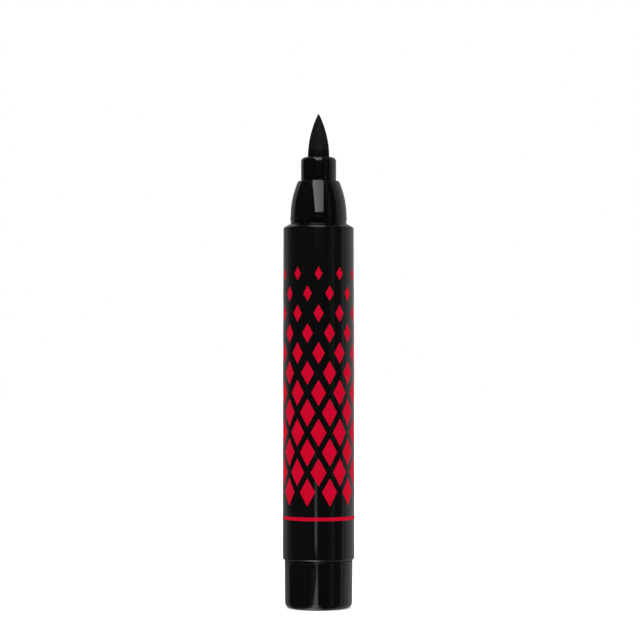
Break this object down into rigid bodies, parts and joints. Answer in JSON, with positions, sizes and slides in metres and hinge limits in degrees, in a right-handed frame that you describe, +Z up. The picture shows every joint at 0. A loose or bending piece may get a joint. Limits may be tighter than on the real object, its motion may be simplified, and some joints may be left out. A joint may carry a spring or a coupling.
{
  "type": "liquid eyeliner pen",
  "caption": "Uncapped felt-tip liquid eyeliner pen standing on its press-in tail plug: gloss barrel, domed front with cap bead and collar, pointed felt nib, ink-soaked fibre reservoir inside.",
  "frame": {"origin": "centre of the tail plug's flat bottom face, which the pen stands on", "axes": "+Z runs up the pen's axis to the point of the nib, +Y points away from the viewer of the picture, +X to the viewer's right"},
  "size_m": [0.0142, 0.0142, 0.0982],
  "materials": {
    "plug_plastic": "gloss black moulded polypropylene",
    "barrel_plastic": "gloss black moulded plastic with a red printed pattern",
    "front_plastic": "gloss black moulded plastic",
    "holder_plastic": "gloss black moulded plastic",
    "nib_felt": "matte black ink-soaked polyester felt",
    "reservoir_fibre": "ink-soaked polyester fibre",
    "wrap_film": "thin clear-grey film",
    "tube_plastic": "natural white extruded plastic"
  },
  "bodies": {
    "tail": {"tail_plug": "plug_plastic"},
    "pen": {"barrel": "barrel_plastic", "front_section": "front_plastic", "nib_holder": "holder_plastic", "nib": "nib_felt", "reservoir_core": "reservoir_fibre", "reservoir_film": "wrap_film", "air_tube": "tube_plastic"}
  },
  "joints": [
    {"name": "tail_plug_pull", "type": "slide", "parent": "tail", "child": "pen", "axis": [0, 0, 1], "range_m": [0, 0.012]}
  ]
}
